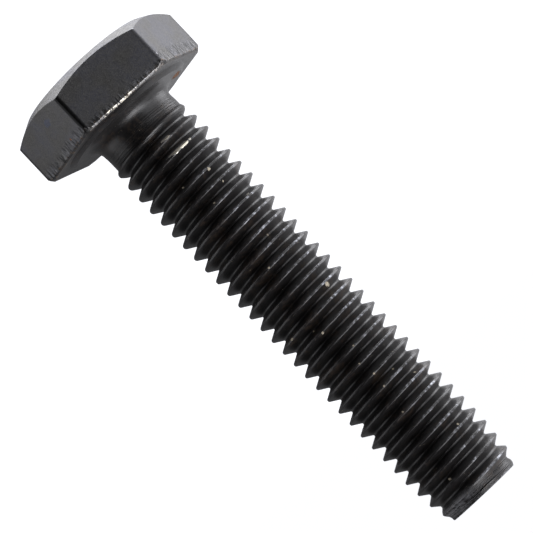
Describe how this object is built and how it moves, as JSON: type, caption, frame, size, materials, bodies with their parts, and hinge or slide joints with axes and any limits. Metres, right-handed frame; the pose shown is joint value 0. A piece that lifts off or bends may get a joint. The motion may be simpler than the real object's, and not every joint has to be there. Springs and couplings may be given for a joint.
{
  "type": "hex bolt",
  "caption": "Metric hexagon head bolt threaded to the head, with a washer face under a chamfered head; clamps parts with a spanner.",
  "frame": {"origin": "centre of the bearing face, which is the raised washer face under the head", "axes": "+Z along the bolt's axis from the head towards the tip, so the bolt stands on its head; +Y and -Y are the outward normals of two opposite flats of the hexagon, and +X and -X point at two opposite corners"},
  "size_m": [0.016, 0.0138, 0.0448],
  "materials": {
    "black_oxide_steel": "black oxide and light oil: satin on the head, glossy on the rolled thread, bright steel on worn edges"
  },
  "bodies": {
    "root": {"hex_bolt": "black_oxide_steel"}
  },
  "joints": []
}
